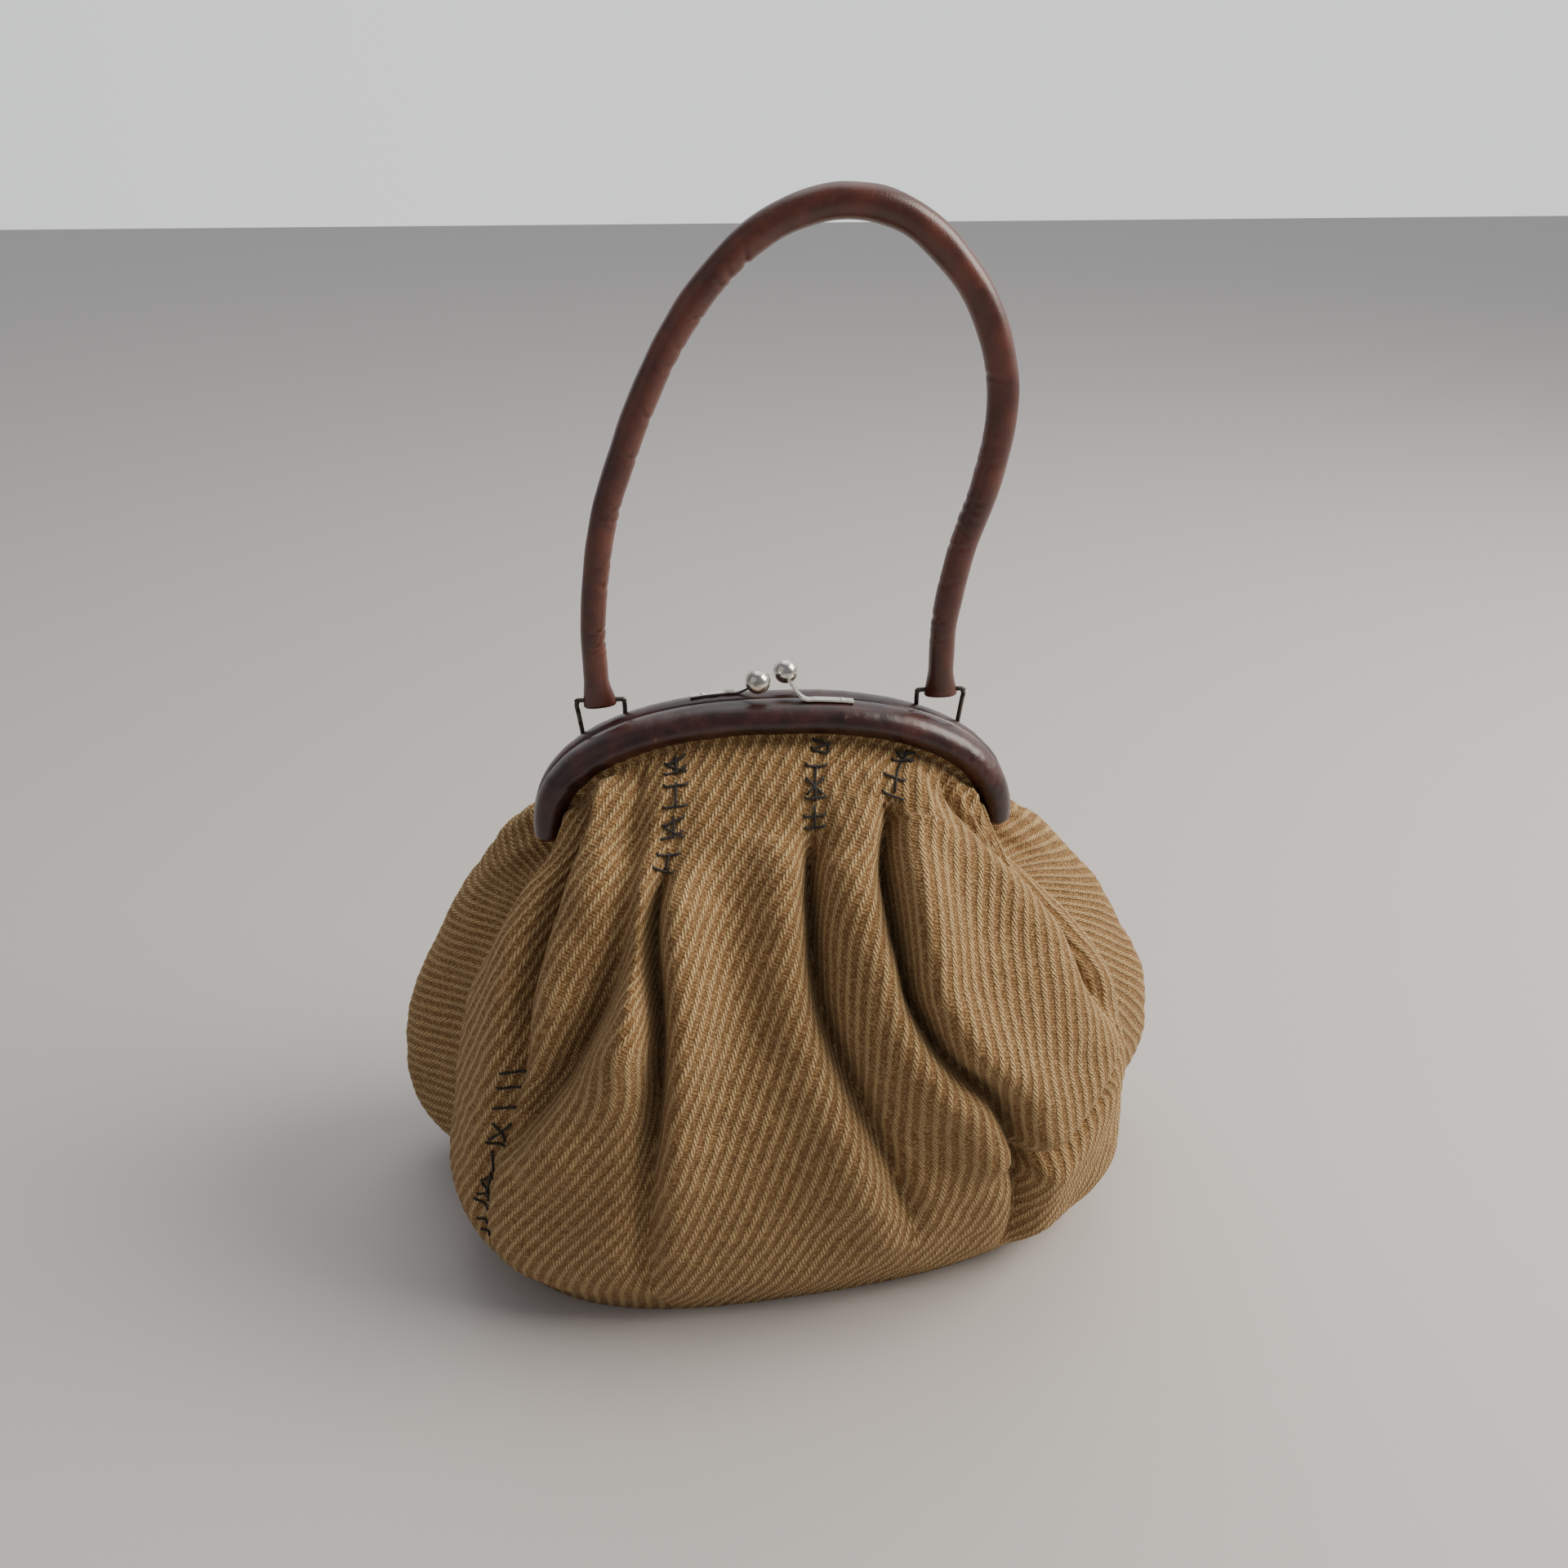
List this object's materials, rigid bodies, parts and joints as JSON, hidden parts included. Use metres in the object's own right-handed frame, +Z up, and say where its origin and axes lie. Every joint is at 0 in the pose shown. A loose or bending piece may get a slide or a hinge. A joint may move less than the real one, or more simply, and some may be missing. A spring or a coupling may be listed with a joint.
{
  "type": "frame handbag",
  "caption": "Gathered ribbed wool handbag on a leather-covered arch frame with ball clasp and a rolled leather top handle.",
  "frame": {"origin": "middle of the flat underside of the cloth bag", "axes": "+Z up along the handle's rise, -Y out of the front of the bag, +X to the right seen from the front"},
  "size_m": [0.3525, 0.1909, 0.4416],
  "materials": {
    "cloth_body": "ribbed brushed wool",
    "front_bar": "glossy, worn",
    "rear_bar": "glossy, worn",
    "hinge_pin_left": "aged",
    "hinge_pin_right": "aged",
    "clasp_front": "aged nickel plate",
    "clasp_rear": "aged nickel plate",
    "loop_left": "dark, tarnished",
    "loop_right": "dark, tarnished",
    "handle": "glossy, creased"
  },
  "bodies": {
    "root": {"cloth_body": "cloth_body", "front_bar": "front_bar", "rear_bar": "rear_bar", "hinge_pin_left": "hinge_pin_left", "hinge_pin_right": "hinge_pin_right", "clasp_front": "clasp_front", "clasp_rear": "clasp_rear", "loop_left": "loop_left", "loop_right": "loop_right", "handle": "handle"}
  },
  "joints": []
}
